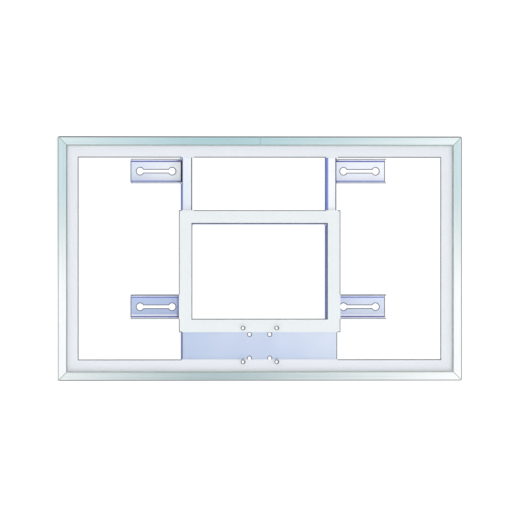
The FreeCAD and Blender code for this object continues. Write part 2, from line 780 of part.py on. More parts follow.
# Frame clips: angles welded to the uprights and bolted to the frame's rear wall
nut_bars = []
bolts = []
washers = []
for end, side in corner_names:
    name = "frame_clip_%s_%s" % (END_NAMES[end], SIDE_NAMES[side])
    clip_up = inward_span(end, edge_up[end], clip_edge, clip_edge + clip_length)
    clip_across = mirrored(side, upright_inner - clip_leg, upright_inner)
    clip_back = frame_back + clip_gauge
    flat_leg = block(name + "_flat", clip_across, (frame_back, clip_back), clip_up)
    deep_leg = block(
        name + "_deep",
        mirrored(side, upright_inner - clip_gauge, upright_inner),
        (frame_back, zero),
        inward_span(end, edge_up[end], frame_face + upright_end_gap, clip_edge + clip_length),
    )
    points = clip_bolt_points(end, side)
    bolt_hole = bolt_radius + hole_clearance
    clip_holes = [
        drill("%s_hole_%d" % (name, i), bolt_hole, point, frame_back, clip_back)
        for i, point in enumerate(points)
    ]
    keep(drilled(name, fused(name + "_angle", [flat_leg, deep_leg]), clip_holes), name)
    bar_front = hollow_back - nut_bar_thickness
    bar_half = nut_bar_height / 2
    bar_up = inward_span(end, edge_up[end], hollow_middle - bar_half, hollow_middle + bar_half)
    bar = block(name + "_nut_bar", clip_across, (bar_front, hollow_back), bar_up)
    tapped_hole = bolt_radius + thread_clearance
    bar_holes = [
        drill("%s_tap_%d" % (name, i), tapped_hole, point, bar_front, hollow_back)
        for i, point in enumerate(points)
    ]
    nut_bars.append(drilled(name + "_tapped_bar", bar, bar_holes))
    for i, (x, z) in enumerate(points):
        fixing = "%s_bolt_%d" % (name, i)
        washer_back = clip_back + washer_thickness
        ring = rod(fixing + "_ring", washer_diameter / 2, (x, clip_back, z), "y", washer_thickness)
        ring_hole = drill(fixing + "_ring_hole", bolt_hole, (x, z), clip_back, washer_back)
        washers.append(drilled(fixing + "_washer", ring, [ring_hole]))
        tail = bar_front - bolt_tail
        shank = rod(fixing + "_shank", bolt_radius, (x, tail, z), "y", washer_back - tail)
        head = doc.addObject("Part::Prism", fixing + "_head")
        head.Polygon = 6
        head.Placement = FreeCAD.Placement(Vector(), TURNS["y"])
        head.setExpression("Circumradius", (bolt_head / 2).text)
        head.setExpression("Height", bolt_head_height.text)
        place(head, (x, washer_back, z))
        bolts.append(fused(fixing, [shank, head]))
keep(gathered("clip_nut_bars", nut_bars), "clip_nut_bars")
keep(gathered("clip_bolts", bolts), "clip_bolts")
keep(gathered("clip_washers", washers), "clip_washers")

# Rubber pads between the steel and the glass, hidden behind the white lines
tall_pad_up = (plate_top + pad_margin, target_top - pad_margin)
tall_pad_deep = (ink_back, upright_front)
for side in (LEFT, RIGHT):
    label = "upright_pad_" + SIDE_NAMES[side]
    pad_across = mirrored(side, (upright_spacing - pad_width) / 2, (upright_spacing + pad_width) / 2)
    keep(block(label, pad_across, tall_pad_deep, tall_pad_up), label)
cross_pad_half = upright_inner - pad_margin
cross_pad_middle = (cross_top + cross_bottom) / 2
keep(
    block(
        "cross_pad",
        (-cross_pad_half, cross_pad_half),
        tall_pad_deep,
        (cross_pad_middle - pad_width / 2, cross_pad_middle + pad_width / 2),
    ),
    "cross_pad",
)


def goal_pad(label, up):
    """A strip along the goal plate, cut clear of the sleeves."""
    strip = block(label + "_strip", (-upright_outer, upright_outer), (ink_back, plate_front), up)
    clear = collar_diameter / 2 + pad_margin / 2
    rods = [
        drill("%s_clear_%d" % (label, i), clear, point, ink_back, plate_front)
        for i, point in enumerate(goal_points)
    ]
    keep(drilled(label, strip, rods), label)


goal_pad("goal_pad_upper", (target_bottom + pad_margin, plate_top))
goal_pad("goal_pad_lower", (plate_bottom, board_bottom + border_reach - pad_margin))

# Fillet welds: quarter-round beads in the corners where the steel pieces meet
beads = []


def bead(along, quarter, at, length):
    """A quarter-round bead. Quarters count round the axis: for Y they are +X-Z, -X-Z, -X+Z and +X+Z,
    and for Z they are +X+Y, -X+Y, -X-Y and +X-Y."""
    weld = doc.addObject("Part::Cylinder", "bead_%d" % len(beads))
    weld.Angle = 90
    turn = TURNS[along].multiply(FreeCAD.Rotation(Vector(0, 0, 1), 90 * quarter))
    weld.Placement = FreeCAD.Placement(Vector(), turn)
    weld.setExpression("Radius", weld_leg.text)
    weld.setExpression("Height", as_size(length).text)
    place(weld, at)
    beads.append(weld)


OUT_UP = {LEFT: 2, RIGHT: 3}
OUT_DOWN = {LEFT: 1, RIGHT: 0}
OUT_BACK = {LEFT: 1, RIGHT: 0}
for side in (LEFT, RIGHT):
    outer_face = upright_outer * side
    inner_face = upright_inner * side
    for row in (1, -1):
        flange_run = bracket_flange - bracket_bend - bracket_gauge - weld_margin
        for face, quarter in ((1, OUT_UP[side]), (-1, OUT_DOWN[side])):
            level = slot_rows / 2 * row + bracket_height / 2 * face
            bead("y", quarter, (outer_face, -bracket_flange + weld_margin, level), flange_run)
    cross_run = cross_depth - tube_round * 2
    cross_start = upright_front + tube_round
    bead("y", OUT_UP[-side], (inner_face, cross_start, cross_top), cross_run)
    bead("y", OUT_DOWN[-side], (inner_face, cross_start, cross_bottom), cross_run)
    cross_rear = upright_front + cross_depth
    cross_rise = cross_height - tube_round * 2
    bead("z", OUT_BACK[-side], (inner_face, cross_rear, cross_bottom + tube_round), cross_rise)
    for end in (1, -1):
        clip_foot = edge_up[end] - (clip_edge + clip_length) * end
        quarter = OUT_DOWN[-side] if end > 0 else OUT_UP[-side]
        clip_run = -frame_back - weld_margin * 2 - tube_round
        bead("y", quarter, (inner_face, frame_back + weld_margin, clip_foot), clip_run)
keep(gathered("weld_beads", beads), "weld_beads")

# Check every object and every sub-part, then write one file for each
doc.recompute()
for thing in doc.Objects:
    if "Invalid" in thing.State or "Error" in thing.State:
        raise RuntimeError("%s failed: %s" % (thing.Label, thing.State))
for thing in parts:
    shape = thing.Shape
    if shape.isNull() or not shape.isValid() or not shape.Solids:
        raise RuntimeError("%s has no valid solid" % thing.Label)
os.makedirs("parts", exist_ok=True)
for thing in parts:
    thing.Shape.exportStep(os.path.join("parts", thing.Label + ".step"))
    print("%-24s %3d solids %12.0f mm3" % (thing.Label, len(thing.Shape.Solids), thing.Shape.Volume))
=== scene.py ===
import math

import bmesh
import bpy
from mathutils import Color, Matrix, Vector


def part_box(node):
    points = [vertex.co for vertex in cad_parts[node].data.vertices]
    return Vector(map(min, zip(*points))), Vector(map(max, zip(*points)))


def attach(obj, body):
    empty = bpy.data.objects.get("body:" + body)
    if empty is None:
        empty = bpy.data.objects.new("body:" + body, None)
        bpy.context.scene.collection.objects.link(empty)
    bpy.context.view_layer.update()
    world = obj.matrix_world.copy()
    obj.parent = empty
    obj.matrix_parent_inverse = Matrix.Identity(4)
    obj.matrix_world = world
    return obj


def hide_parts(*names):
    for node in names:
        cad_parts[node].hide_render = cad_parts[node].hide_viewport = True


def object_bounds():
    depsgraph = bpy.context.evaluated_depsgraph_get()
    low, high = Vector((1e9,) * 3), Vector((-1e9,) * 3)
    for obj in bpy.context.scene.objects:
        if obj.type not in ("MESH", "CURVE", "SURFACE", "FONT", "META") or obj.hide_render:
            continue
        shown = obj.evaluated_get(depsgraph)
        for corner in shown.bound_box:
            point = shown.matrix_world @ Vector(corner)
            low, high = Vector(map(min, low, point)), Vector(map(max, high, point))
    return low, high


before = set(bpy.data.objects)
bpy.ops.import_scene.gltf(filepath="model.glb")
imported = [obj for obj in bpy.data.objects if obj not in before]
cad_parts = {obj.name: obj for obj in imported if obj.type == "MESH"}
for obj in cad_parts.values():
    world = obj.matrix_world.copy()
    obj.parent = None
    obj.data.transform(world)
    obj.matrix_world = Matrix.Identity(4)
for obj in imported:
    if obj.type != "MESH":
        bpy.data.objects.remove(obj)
cad_low, cad_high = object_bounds()


# The studio: a white surround, brighter before and behind the board than beside it, with broad
# soft lights from the front, the rear, above and both sides, and a pale floor well below it.
# The board is seen from far off and a little from the left, so its edges stay parallel.
class Wire:
    """One socket in a node tree. Sums on wires add Math nodes, and node() adds any other node."""

    def __init__(self, tree, socket=None):
        self.tree = tree
        self.socket = socket

    def node(self, kind, settings=None, sockets=None, out=0):
        """Adds a node of a type, sets it up, fills its sockets, and gives one of its outputs."""
        made = self.tree.nodes.new("ShaderNode" + kind)
        for name, value in (settings or {}).items():
            setattr(made, name, value)
        for name, value in (sockets or {}).items():
            if isinstance(value, Wire):
                self.tree.links.new(value.socket, made.inputs[name])
            else:
                made.inputs[name].default_value = value
        return Wire(self.tree, made.outputs[out] if made.outputs else None)

    def maths(self, operation, *terms):
        return self.node("Math", {"operation": operation}, dict(enumerate(terms)))

    def __add__(self, other):
        return self.maths("ADD", self, other)

    def __sub__(self, other):
        return self.maths("SUBTRACT", self, other)

    def __rsub__(self, other):
        return self.maths("SUBTRACT", other, self)

    def __mul__(self, other):
        return self.maths("MULTIPLY", self, other)

    def __pow__(self, other):
        return self.maths("POWER", self, other)

    def __abs__(self):
        return self.maths("ABSOLUTE", self)

    __radd__ = __add__
    __rmul__ = __mul__

    def least(self, other):
        return self.maths("MINIMUM", self, other)

    def most(self, other):
        return self.maths("MAXIMUM", self, other)

    def axis(self, name):
        """One of the three lengths of a vector."""
        return self.node("SeparateXYZ", sockets={0: self}, out=name)

    def rise(self, low, high):
        """0 below low, 1 above high, and smooth between them."""
        sockets = {"Value": self, "From Min": low, "From Max": high}
        return self.node("MapRange", {"interpolation_type": "SMOOTHSTEP"}, sockets)

    def blend(self, first, second):
        """A colour between two, where this wire is the share of the second."""
        return self.node("Mix", {"data_type": "RGBA"}, {"Factor": self, 6: first, 7: second}, out=2)


SIDE_LIGHT = 0.50
FRONT_LIGHT = 1.19
FRONT_GATHER = 1.5
BACKGROUND_WHITE = 1.06
MATT_LIGHT = 0.36
WHITE = (1.0, 1.0, 1.0, 1.0)
surround = bpy.data.worlds.new("white_surround")
surround.use_nodes = True
surround.node_tree.nodes.clear()
toward = Wire(surround.node_tree).node("TexCoord", out="Generated")
before_or_behind = abs(toward.axis("Y"))
brightness = SIDE_LIGHT + (FRONT_LIGHT - SIDE_LIGHT) * before_or_behind**FRONT_GATHER
on_matt_faces = toward.node("LightPath", out="Is Diffuse Ray")
in_view = toward.node("LightPath", out="Is Camera Ray")
brightness = brightness + (MATT_LIGHT - brightness) * on_matt_faces
brightness = brightness + (BACKGROUND_WHITE - brightness) * in_view
glow = toward.node("Background", sockets={"Color": WHITE, "Strength": brightness})
glow.node("OutputWorld", sockets={"Surface": glow})
bpy.context.scene.world = surround
bpy.context.scene.view_settings.view_transform = "Standard"

BOARD_HALF_ACROSS = cad_high.x
BOARD_HALF_UP = (cad_high.z - cad_low.z) / 2
BOARD_UP = (cad_high.z + cad_low.z) / 2
BOARD_DEEP = -0.056
CAMERA_YAW = math.radians(7.0)
CAMERA_DISTANCE = 60.0
FRAME_WIDTH = 1.9179
AIM_ASIDE = -0.0134
AIM_UP = 0.0094
SENSOR_WIDTH = 36.0
looking = Vector((math.sin(CAMERA_YAW), math.cos(CAMERA_YAW), 0.0))
rightward = Vector((math.cos(CAMERA_YAW), -math.sin(CAMERA_YAW), 0.0))
lens = bpy.data.cameras.new("long_lens")
lens.sensor_width = SENSOR_WIDTH
lens.lens = SENSOR_WIDTH * CAMERA_DISTANCE / FRAME_WIDTH
camera = bpy.data.objects.new("camera", lens)
aim = Vector((0.0, BOARD_DEEP, BOARD_UP + AIM_UP)) + rightward * AIM_ASIDE
camera.location = aim - looking * CAMERA_DISTANCE
camera.rotation_euler = looking.to_track_quat("-Z", "Y").to_euler()
bpy.context.scene.collection.objects.link(camera)
bpy.context.scene.camera = camera

FRONT_FROM = Vector((0.0, -1.0, 0.06))
REAR_FROM = Vector((0.0, 1.0, 0.45))
LEFT = Vector((-1.0, 0.0, 0.0))
UP = Vector((0.0, 0.0, 1.0))
FRONT_POWER = 1.50
REAR_POWER = 1.75
TOP_POWER = 1.25
SIDE_POWER = 0.45
LAMP_SPREAD = math.radians(9)


def broad_light(name, energy, source):
    """A wide lamp far off in one direction, too soft to be seen in the metal."""
    light = bpy.data.lights.new(name, "SUN")
    light.energy = energy
    light.angle = LAMP_SPREAD
    lamp = bpy.data.objects.new(name, light)
    lamp.rotation_euler = (-source).to_track_quat("-Z", "Y").to_euler()
    lamp.visible_glossy = False
    bpy.context.scene.collection.objects.link(lamp)


broad_light("front_light", FRONT_POWER, FRONT_FROM)
broad_light("rear_light", REAR_POWER, REAR_FROM)
broad_light("top_light", TOP_POWER, UP)
broad_light("left_light", SIDE_POWER, LEFT)
broad_light("right_light", SIDE_POWER, -LEFT)


def tone(red, green, blue):
    """A colour given as 0 to 255, made linear."""
    levels = Color((red / 255, green / 255, blue / 255))
    return [*levels.from_srgb_to_scene_linear(), 1.0]


def new_finish(name):
    """An empty material, and a wire with each point's place on the board in metres."""
    material = bpy.data.materials.new(name)
    material.use_nodes = True
    material.node_tree.nodes.clear()
    return material, Wire(material.node_tree).node("TexCoord", out="Object")


def coat(colour, roughness, normal=None, **constants):
    """Closes a material with one surface shader. Constants go straight to its sockets."""
    sockets = {"Base Color": colour, "Roughness": roughness}
    if normal is not None:
        sockets["Normal"] = normal
    sockets.update({name.replace("_", " "): value for name, value in constants.items()})
    shader = colour.node("BsdfPrincipled", sockets=sockets)
    shader.node("OutputMaterial", sockets={"Surface": shader})


def mottle(place, per_metre, stretch=(1.0, 1.0, 1.0), detail=3.0):
    """Soft irregular patches from 0 to 1, so many to the metre, drawn out along an axis."""
    stretched = place.node("Mapping", sockets={"Vector": place, "Scale": stretch})
    return place.node("TexNoise", sockets={"Vector": stretched, "Scale": per_metre, "Detail": detail})


FLOOR_DROP = 0.75
FLOOR_HALF = 8.0
FLOOR_STEPS = 8
floor_mesh = bmesh.new()
bmesh.ops.create_grid(floor_mesh, x_segments=FLOOR_STEPS, y_segments=FLOOR_STEPS, size=FLOOR_HALF)
bmesh.ops.translate(floor_mesh, verts=floor_mesh.verts, vec=(0.0, 0.0, cad_low.z - FLOOR_DROP))
floor_data = bpy.data.meshes.new("floor")
floor_mesh.to_mesh(floor_data)
floor_mesh.free()
floor = bpy.data.objects.new("floor", floor_data)
floor_finish, place = new_finish("pale_floor")
cloud = mottle(place, per_metre=1.5)
coat(cloud.blend(tone(236, 238, 240), tone(244, 245, 246)), roughness=0.6 + 0.2 * cloud)
floor_data.materials.append(floor_finish)
bpy.context.scene.collection.objects.link(floor)


# The glass: one sheet of clear toughened glass, 12.7 mm thick, with ground edges inside the
# frame. Its faces are polished, and hold only a trace of the wiping of a cloth.
def face_normal(place):
    """Which way the flat of each face looks."""
    return place.node("NewGeometry", out="True Normal")


def dress(material, *nodes):
    """Gives the finish to sub-parts of the model."""
    for node in nodes:
        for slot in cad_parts[node].material_slots:
            slot.material = material


GLASS_CLEAR = (0.996, 1.0, 0.998, 1.0)
GLASS_SHINE = 0.012
GLASS_SMEAR = 0.006
GLASS_EDGE_ON = 0.7
GLASS_EDGE_POWER = 5.0
GLASS_POLISH = 0.02
GLASS_DULLED = 0.05
WIPED_ALONG = (1.0, 1.0, 6.0)
WIPED_PART = (0.5, 0.9)
glass, place = new_finish("clear_toughened_glass")
wiping = mottle(place, per_metre=3.0, stretch=WIPED_ALONG).rise(*WIPED_PART)
flat = face_normal(place)
slant = place.node("LayerWeight", sockets={"Blend": 0.5, "Normal": flat}, out="Facing")
mirror_share = GLASS_SHINE + GLASS_SMEAR * wiping + GLASS_EDGE_ON * slant**GLASS_EDGE_POWER
through = place.node("BsdfTransparent", sockets={"Color": GLASS_CLEAR})
polish = GLASS_POLISH + GLASS_DULLED * wiping
shine = place.node("BsdfGlossy", sockets={"Roughness": polish, "Normal": flat})
pane = place.node("MixShader", sockets={0: mirror_share, 1: through, 2: shine})
pane.node("OutputMaterial", sockets={"Surface": pane})
dress(glass, "glass_panel")


# The white lines: ceramic ink screened on the rear of the glass and fired in. The border runs
# under the frame all round, and the target is a rectangle above the goal. A fine grey line of
# painted shade marks the edge of the ink wherever only clear glass lies beside it.
BORDER_REACH = 0.0794
TARGET_LINE = 0.0508
FILM_GAP = 0.0001
GOAL_HALF = 0.0635
GOAL_HOLE = 0.0081
HOLE_STEPS = 32
EDGE_LINE = 0.0036
OUTLINE = 0.00306
COVERED_LINE = 0.00432
LINE_CORE = 0.8
# The grey of the ink's edge line: painted edge shade.
INK_EDGE_SHADE = tone(70, 74, 80)
CLOUD_SHARE = 0.8
FAR_OUT = 1.0
SHARP_ANGLE = math.radians(35)
sleeves_low, sleeves_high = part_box("goal_sleeves")
border_low, border_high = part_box("border_print")
target_low, target_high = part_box("target_print")
upright_low, upright_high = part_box("upright_right")
plate_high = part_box("goal_plate")[1]
bracket_low, bracket_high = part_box("bracket_lower_right")
TARGET_UP = (target_low.z + target_high.z) / 2
GOAL_UP = (sleeves_low.z + sleeves_high.z) / 2


def finished(name, shape, material, node):
    """Makes a piece of the board from a shape, in place of a sub-part of the model."""
    data = bpy.data.meshes.new(name)
    shape.to_mesh(data)
    shape.free()
    data.materials.append(material)
    data.shade_smooth()
    data.set_sharp_from_angle(angle=SHARP_ANGLE)
    piece = bpy.data.objects.new(name, data)
    bpy.context.scene.collection.objects.link(piece)
    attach(piece, "root")
    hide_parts(node)


def rectangle(shape, low, high):
    """The four edges of a rectangle between two (across, up) corners."""
    middle = Matrix.Translation(((low[0] + high[0]) / 2, (low[1] + high[1]) / 2, 0.0))
    half = Matrix.Diagonal(((high[0] - low[0]) / 2, (high[1] - low[1]) / 2, 1.0, 1.0))
    bmesh.ops.create_grid(shape, x_segments=1, y_segments=1, size=1.0, matrix=middle @ half)
    bmesh.ops.delete(shape, geom=shape.faces[:], context="FACES_ONLY")


def film(low, high, line, hole_up):
    """A flat ring of ink that fills its box, so wide, with two of the goal's holes at a height."""
    shape = bmesh.new()
    rectangle(shape, (low.x, low.z), (high.x, high.z))
    rectangle(shape, (low.x + line, low.z + line), (high.x - line, high.z - line))
    for across in (-GOAL_HALF, GOAL_HALF):
        hole = {"segments": HOLE_STEPS, "radius": GOAL_HOLE}
        middle = Matrix.Translation((across, hole_up, 0.0))
        bmesh.ops.create_circle(shape, cap_ends=False, matrix=middle, **hole)
    filled = bmesh.ops.triangle_fill(shape, edges=shape.edges[:], use_beauty=True)["geom"]
    faces = [item for item in filled if isinstance(item, bmesh.types.BMFace)]
    grown = bmesh.ops.extrude_face_region(shape, geom=faces)["geom"]
    rear = [item for item in grown if isinstance(item, bmesh.types.BMVert)]
    bmesh.ops.translate(shape, verts=rear, vec=(0.0, 0.0, low.y + FILM_GAP - high.y))
    upright = Matrix.Rotation(math.pi / 2, 4, "X")
    shape.transform(Matrix.Translation((0.0, low.y + FILM_GAP, 0.0)) @ upright)
    bmesh.ops.recalc_face_normals(shape, faces=shape.faces)
    return shape


def relief(height, depth):
    """Fine relief on the flat of each face, so deep in metres."""
    sockets = {"Distance": depth, "Height": height, "Normal": face_normal(height)}
    return height.node("Bump", sockets=sockets)


def inside(value, low, high):
    """1 where a length lies between two others."""
    return value.maths("GREATER_THAN", value, low) * value.maths("LESS_THAN", value, high)


def edge_line(gap, width=EDGE_LINE):
    """1 within a line's width of an edge."""
    return 1 - gap.rise(width * LINE_CORE, width)


def ink(name, pale, shaded, edges):
    """Fired ink: faintly uneven, satin, with a grey line of painted shade along its edge."""
    material, place = new_finish(name)
    clouds = mottle(place, per_metre=6.0)
    grain = mottle(place, per_metre=900.0, detail=2.0)
    body = (clouds * CLOUD_SHARE + grain * (1 - CLOUD_SHARE)).blend(shaded, pale)
    line = edges(abs(place.axis("X")), place.axis("Z"))
    # The edge line is painted shade laid over the ink.
    colour = line.blend(body, INK_EDGE_SHADE)
    coat(colour, roughness=0.32 + 0.12 * grain, normal=relief(grain, depth=0.00002))
    return material


def before_upright(aside):
    """1 where an upright lies behind the glass."""
    return inside(aside, upright_low.x - EDGE_LINE, upright_high.x + EDGE_LINE)


def border_edges(aside, up):
    """The border's inner edge, but for the lengths with steel behind them."""
    out_across = aside - (BOARD_HALF_ACROSS - BORDER_REACH)
    out_up = abs(up - BOARD_UP) - (BOARD_HALF_UP - BORDER_REACH)
    before_plate = inside(up, -FAR_OUT, BOARD_UP) * inside(aside, -FAR_OUT, plate_high.x)
    before_steel = before_upright(aside).most(before_plate)
    hidden = inside(out_up, 0.0, FAR_OUT) * inside(out_across, -FAR_OUT, 0.0) * before_steel
    return edge_line(out_across.most(out_up)) * (1 - hidden)


def target_edges(aside, up):
    """The target's inner edge, and its outer edge where no steel lies behind or beside it."""
    out_across = aside - target_high.x
    out_up = abs(up - TARGET_UP) - (target_high.z - TARGET_UP)
    out = out_across.most(out_up)
    before_tube = before_upright(aside) * inside(up, TARGET_UP, FAR_OUT)
    before_plate = inside(up, -FAR_OUT, TARGET_UP) * inside(aside, -FAR_OUT, plate_high.x)
    before_steel = inside(out_up, -COVERED_LINE, FAR_OUT) * before_tube.most(before_plate)
    at_bracket = inside(up, bracket_low.z, bracket_high.z)
    beside_bracket = inside(out_across, -COVERED_LINE, FAR_OUT) * at_bracket
    outer = edge_line(0 - out, OUTLINE) * (1 - before_steel.most(beside_bracket))
    return outer.most(edge_line(out + TARGET_LINE))


border_ink = ink("border_ink", tone(234, 236, 242), tone(229, 231, 238), border_edges)
target_ink = ink("target_ink", tone(235, 238, 241), tone(231, 234, 237), target_edges)
border_line = BORDER_REACH - (BOARD_HALF_ACROSS - border_high.x)
border_film = film(border_low, border_high, border_line, GOAL_UP - GOAL_HALF)
target_film = film(target_low, target_high, TARGET_LINE, GOAL_UP + GOAL_HALF)
finished("border_lines", border_film, border_ink, "border_print")
finished("target_lines", target_film, target_ink, "target_print")


# The edge gasket: four lengths of extruded rubber channel, mitred at the corners, pressed over
# the edge of the glass. A narrow bead shows past the frame's lip. It is a pale grey, and darker
# on the left, where the darker rubber is painted shade in the gap beside the left rail.
BLOOM_PART = (0.35, 0.75)


def rubber(name, dark, worn_and_rim_shade):
    """Matt rubber with a pale bloom in patches."""
    material, place = new_finish(name)
    bloom = mottle(place, per_metre=40.0).rise(*BLOOM_PART)
    grain = mottle(place, per_metre=1500.0, detail=2.0)
    colour = bloom.blend(dark, worn_and_rim_shade)
    coat(colour, roughness=0.62 + 0.2 * grain, normal=relief(grain, depth=0.00008))
    return material


grey_gasket = rubber("grey_gasket_rubber", tone(170, 182, 176), tone(188, 198, 192))
dress(grey_gasket, "gasket_right", "gasket_top", "gasket_bottom")
# The left length's darker rubber is painted shade beside the left rail.
dress(rubber("painted_shade_gasket_rubber", tone(116, 126, 130), tone(136, 146, 148)), "gasket_left")


# The edge frame: five lengths of hollow aluminium extrusion, satin anodised, mitred at the
# corners and butted at the middle of the top. Drawing lines run along each length, and the
# joints and the rounded outer edges show as fine dark lines, those on the edges painted shade.
# The cool drift of tone along the rails is a painted reflection.
JOINT_LINE = 0.0012
JOINT_FADE = 0.0018
SEAM_SHARE = 0.5
ANODISED_PALE = tone(253, 254, 254)
# Painted reflection: the cool teal and grey tones the rails drift towards.
REFLECTED_TEAL = tone(167, 200, 206)
REFLECTED_GREY = tone(162, 184, 187)
JOINT_SHADE = tone(150, 164, 158)
# Painted shade on the rounded outer edges, paler on the left rail.
DARK_EDGE_SHADE = tone(40, 44, 46)
PALE_EDGE_SHADE = tone(172, 178, 180)
OUTER_LINE = 0.0028
TOP_LINE_MORE = 0.0011
LEVEL_DRAWN = (0.01, 1.0, 1.0)
UPRIGHT_DRAWN = (1.0, 1.0, 0.01)
MIDDLE_TONE = 0.5
BAND_TINT = 0.3
LINE_TINT = 0.2
LOW_TO_HIGH = (-0.3, 0.3)
LEFT_TO_RIGHT = (-0.5, 0.5)
# These shape where the painted reflection lies along the rails.
COOLEST_LEFT = 0.19
COOL_ROUNDING = 0.15
LEVEL_COOL = 1.03
LEVEL_COOL_HIGH = 0.05
COOL_FALL = 1.10
COOL_FALL_HIGH = -0.225
COOL_LEAN = 0.1
UPRIGHT_COOLING = (-0.26, 0.23)
UPRIGHT_COOL = 0.57
UPRIGHT_COOL_FOOT = 0.14
UPRIGHT_COOL_RIGHT = -0.04
SIDE_ON = (0.1, 0.2)
FLAT_ON = (0.90, 0.99)


def level_painted_reflection(across, up):
    """Level rail's painted reflection: most left of middle, less at the ends, more at the top."""
    high = up.rise(*LOW_TO_HIGH)
    from_coolest = across + COOLEST_LEFT
    spread = (from_coolest * from_coolest + COOL_ROUNDING**2) ** 0.5
    fall = spread * (COOL_FALL + high * COOL_FALL_HIGH)
    return high * LEVEL_COOL_HIGH + LEVEL_COOL - fall + from_coolest * COOL_LEAN


def upright_painted_reflection(across, up):
    """Upright rail's painted reflection: most over its upper part, little at the bottom."""
    cooling = up.rise(*UPRIGHT_COOLING) * UPRIGHT_COOL
    return cooling + UPRIGHT_COOL_FOOT + across.rise(*LEFT_TO_RIGHT) * UPRIGHT_COOL_RIGHT


def anodised(name, drawn, painted_reflection, edge):
    """Satin aluminium drawn along one axis, with a painted reflection and painted shade on its rounded
    edge.
    """
    material, place = new_finish(name)
    across, up = place.axis("X"), place.axis("Z")
    lines = mottle(place, per_metre=700.0, stretch=drawn, detail=4.0)
    bands = mottle(place, per_metre=90.0, stretch=drawn, detail=2.0)
    streaks = (bands - MIDDLE_TONE) * BAND_TINT + (lines - MIDDLE_TONE) * LINE_TINT
    # Painted reflection, with the drawing streaks added to it.
    reflection_and_streaks = painted_reflection(across, up) + streaks
    reflection_tone = up.rise(*LOW_TO_HIGH).blend(REFLECTED_GREY, REFLECTED_TEAL)
    body = reflection_and_streaks.least(1.0).most(0.0).blend(ANODISED_PALE, reflection_tone)
    in_across = BOARD_HALF_ACROSS - abs(across)
    in_up = BOARD_HALF_UP - abs(up - BOARD_UP)
    mitre = abs(in_across - in_up)
    top_seam = abs(across) + inside(up, -FAR_OUT, BOARD_UP)
    mitred = 1 - mitre.rise(JOINT_LINE, JOINT_FADE)
    butted = 1 - top_seam.rise(JOINT_LINE, JOINT_FADE)
    joint = mitred.most(butted * SEAM_SHARE)
    facing = abs(face_normal(place).axis("Y"))
    in_line = in_across.least(in_up - TOP_LINE_MORE * inside(up, BOARD_UP, FAR_OUT))
    outer = edge_line(in_line, OUTER_LINE)
    # Painted shade on the rounded outer edges.
    edge_shade_share = facing.rise(*SIDE_ON) * (1 - facing.rise(*FLAT_ON)).most(outer)
    colour = joint.blend(edge_shade_share.blend(body, edge), JOINT_SHADE)
    drawing = relief(lines, depth=0.00003)
    coat(colour, roughness=0.3 + 0.14 * lines, normal=drawing, Metallic=1.0)
    return material


level_rail = anodised("anodised_level_rail", LEVEL_DRAWN, level_painted_reflection, DARK_EDGE_SHADE)
dress(level_rail, "frame_top_left", "frame_top_right", "frame_bottom")
# The left rail's edge shade is painted paler than the right's.
dress(anodised("anodised_left_rail", UPRIGHT_DRAWN, upright_painted_reflection, PALE_EDGE_SHADE), "frame_left")
dress(anodised("anodised_right_rail", UPRIGHT_DRAWN, upright_painted_reflection, DARK_EDGE_SHADE), "frame_right")


# Corner keys and the splice bar: sawn aluminium blocks that slide into the hollow of the frame
# and hold its lengths together. They are seen only through the screw holes.
SAWN_ALONG = (1.0, 0.05, 1.0)
keys, place = new_finish("sawn_aluminium")
saw_marks = mottle(place, per_metre=600.0, stretch=SAWN_ALONG)
key_metal = saw_marks.blend(tone(176, 180, 182), tone(206, 209, 210))
coat(key_metal, roughness=0.35 + 0.2 * saw_marks, normal=face_normal(place), Metallic=1.0)
dress(keys, "corner_key_top_left", "corner_key_top_right")
dress(keys, "corner_key_bottom_left", "corner_key_bottom_right")
dress(keys, "top_splice_bar")


# Key screws: zinc plated button-head screws with a hexagon socket, two along each rail at every
# corner and four at the top joint, driven from behind into the keys and the splice bar.
FRAME_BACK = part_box("frame_right")[1].y
HOLLOW_MIDDLE = 0.015875
KEY_SCREW_STEPS = (0.048, 0.068)
SPLICE_SCREW_STEPS = (-0.07, -0.05, 0.05, 0.07)
SCREW_HEAD = 0.0045
SCREW_HEAD_HEIGHT = 0.0028
SCREW_TOP_FLAT = 0.55
SCREW_RIM = 0.25
SCREW_DOME_TURNS = (25, 50, 75, 90)
SCREW_SHANK = 0.0025
SCREW_LENGTH = 0.0140
SOCKET = 0.0015
SOCKET_DEPTH = 0.0016
HEXAGON = 6
ROUND_STEPS = 24
MERGE = 1e-6
ZINC_PATCHES = (0.3, 0.7)


def zinc(name):
    """Bright zinc plating with its faint yellow-blue patches."""
    material, place = new_finish(name)
    patches = mottle(place, per_metre=220.0).rise(*ZINC_PATCHES)
    grain = mottle(place, per_metre=2500.0, detail=2.0)
    colour = patches.blend(tone(186, 190, 194), tone(206, 205, 196))
    coat(colour, roughness=0.26 + 0.2 * grain, Metallic=1.0)
    return material


def turned(profile):
    """Spins a profile of (radius, length) points about the Y axis into a closed form."""
    shape = bmesh.new()
    rim = [shape.verts.new((radius, length, 0.0)) for radius, length in profile]
    edges = [shape.edges.new(pair) for pair in zip(rim, rim[1:])]
    around = {"axis": (0, 1, 0), "cent": (0, 0, 0), "angle": math.tau, "steps": ROUND_STEPS}
    bmesh.ops.spin(shape, geom=rim + edges, use_merge=True, **around)
    bmesh.ops.remove_doubles(shape, verts=shape.verts, dist=MERGE)
    bmesh.ops.recalc_face_normals(shape, faces=shape.faces)
    return shape


def added(group, shape):
    """Adds a shape to a group of shapes, and gives the group's new points."""
    part = bpy.data.meshes.new("part")
    shape.to_mesh(part)
    before = len(group.verts)
    group.from_mesh(part)
    group.verts.ensure_lookup_table()
    bpy.data.meshes.remove(part)
    return group.verts[before:]


def copies(shape, places):
    """The shape again at each place, in one group."""
    group = bmesh.new()
    for place in places:
        bmesh.ops.translate(group, verts=added(group, shape), vec=place)
    shape.free()
    return group


